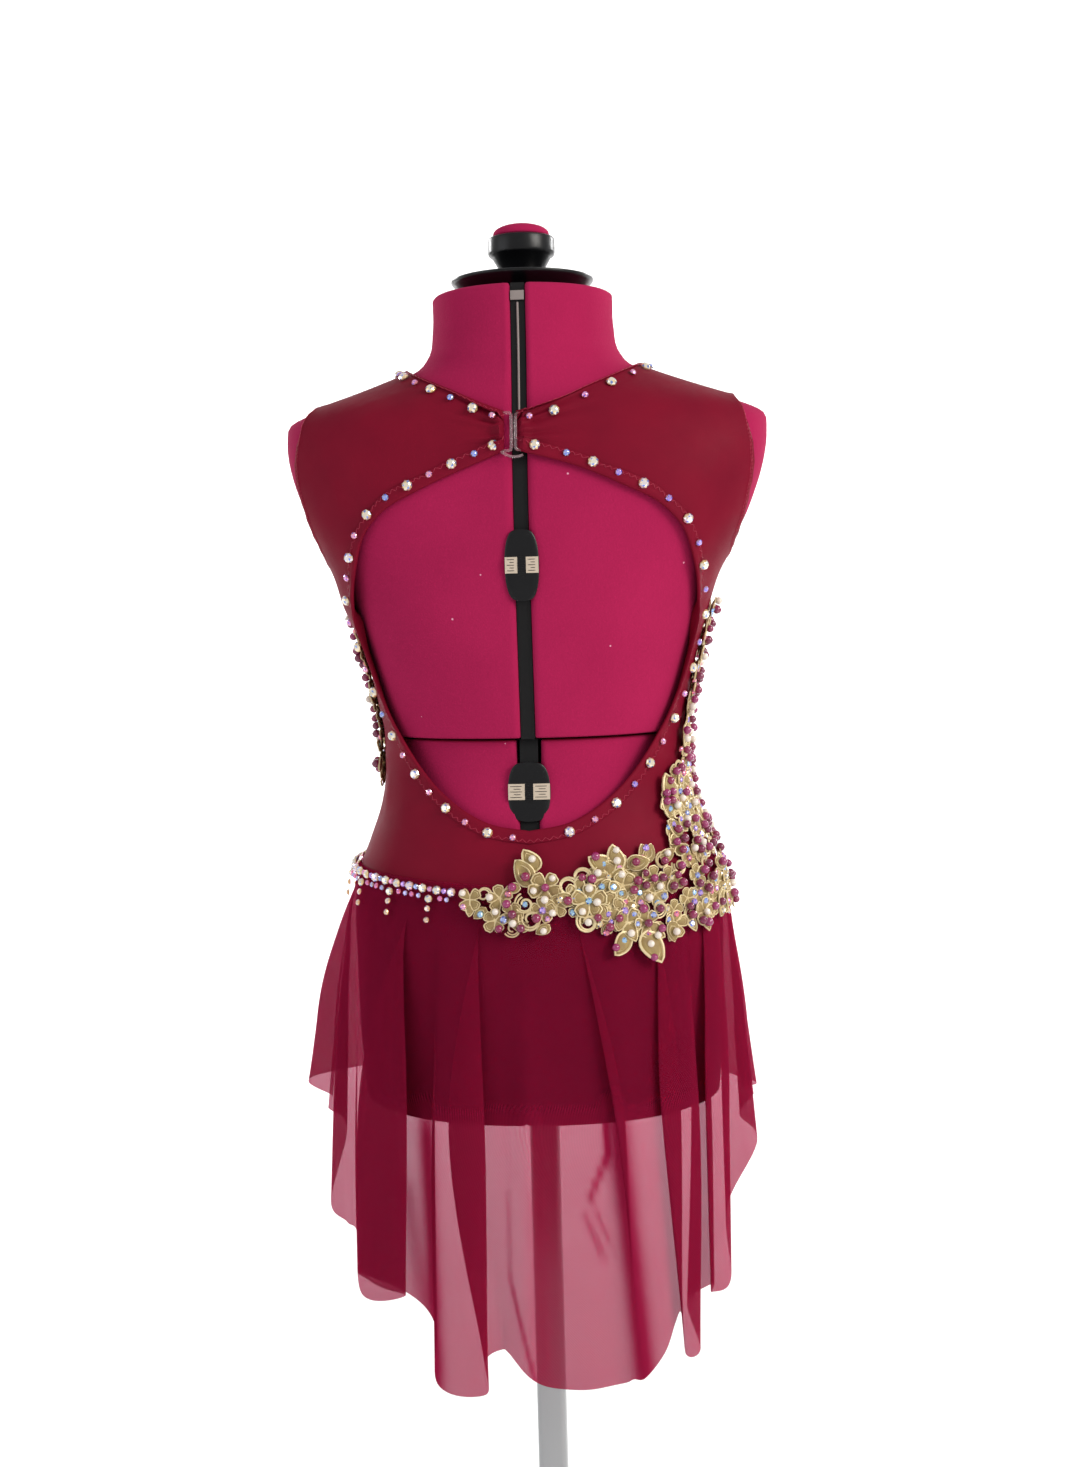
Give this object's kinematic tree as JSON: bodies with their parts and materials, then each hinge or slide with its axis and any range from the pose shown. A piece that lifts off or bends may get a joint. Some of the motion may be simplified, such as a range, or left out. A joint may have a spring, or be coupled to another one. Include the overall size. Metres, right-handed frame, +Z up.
{
  "type": "lyrical dance dress on an adjustable dress form",
  "caption": "Sleeveless dance dress with a large keyhole back, beaded lace at the hip and a sheer high-low skirt, worn by a limbless adjustable dress form on a stand.",
  "frame": {"origin": "on the floor, at the middle of the round base plate, under the pole's axis", "axes": "+Z up along the pole, -Y towards the back of the dress, +X towards the wearer's right side"},
  "size_m": [0.376, 0.376, 1.283],
  "materials": {
    "bodice_jersey": "satin stretch jersey",
    "stretch_mesh": "fine stretch mesh, see-through in one layer",
    "gold_lace": "corded metallic lace with beads",
    "form_jersey": "matt brushed jersey over shells",
    "black_plastic": "glossy",
    "scale_card": "matt",
    "clear_plastic": "clear, glossy",
    "stand_steel": "satin",
    "base_enamel": "satin black enamel"
  },
  "bodies": {
    "root": {"adjuster_plate_lower": "black_plastic", "adjuster_plate_upper": "black_plastic", "applique_hip": "gold_lace", "applique_left": "gold_lace", "applique_right": "gold_lace", "base_plate": "base_enamel", "bodice_back": "bodice_jersey", "bodice_front": "bodice_jersey", "closure_bar": "clear_plastic", "closure_hook": "clear_plastic", "form_bust_back_left": "form_jersey", "form_bust_back_right": "form_jersey", "form_bust_front_left": "form_jersey", "form_bust_front_right": "form_jersey", "form_hip_back_left": "form_jersey", "form_hip_back_right": "form_jersey", "form_hip_front_left": "form_jersey", "form_hip_front_right": "form_jersey", "form_hub": "black_plastic", "form_spine": "black_plastic", "keyhole_binding": "bodice_jersey", "neck_binding": "bodice_jersey", "neck_cap": "black_plastic", "neck_knob": "black_plastic", "pin_cushion": "form_jersey", "pole": "stand_steel", "pole_collar": "base_enamel", "scale_tag_lower_left": "scale_card", "scale_tag_lower_right": "scale_card", "scale_tag_upper_left": "scale_card", "scale_tag_upper_right": "scale_card", "skirt_back": "stretch_mesh", "skirt_front": "stretch_mesh", "trunk_back": "bodice_jersey", "trunk_front": "bodice_jersey"}
  },
  "joints": []
}
